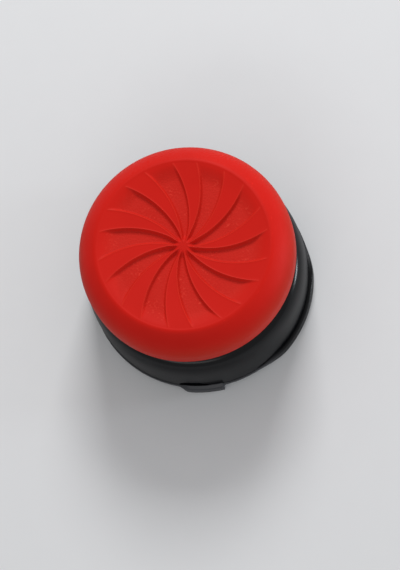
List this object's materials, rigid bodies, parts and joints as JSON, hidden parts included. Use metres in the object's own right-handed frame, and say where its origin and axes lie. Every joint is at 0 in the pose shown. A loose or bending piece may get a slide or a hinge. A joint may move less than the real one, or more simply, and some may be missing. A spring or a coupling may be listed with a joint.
{
  "type": "controller thumb grip",
  "caption": "Clip-on thumb grip for a controller stick: round dished cap with a swirl tread on a waisted hub with snap tabs.",
  "frame": {"origin": "on the grip's axis, in the plane of the feet of the two snap tabs and two lips", "axes": "+Z along the axis towards the thumb, -Y towards the side that the picture shows nearest"},
  "size_m": [0.0238, 0.024, 0.0153],
  "materials": {
    "cap_rubber": "matte moulded elastomer, smooth raised blades and finely stippled sunk blades",
    "hub_plastic": "glossy injection moulded plastic"
  },
  "bodies": {
    "root": {"grip_cap": "cap_rubber", "clip_hub": "hub_plastic"}
  },
  "joints": []
}
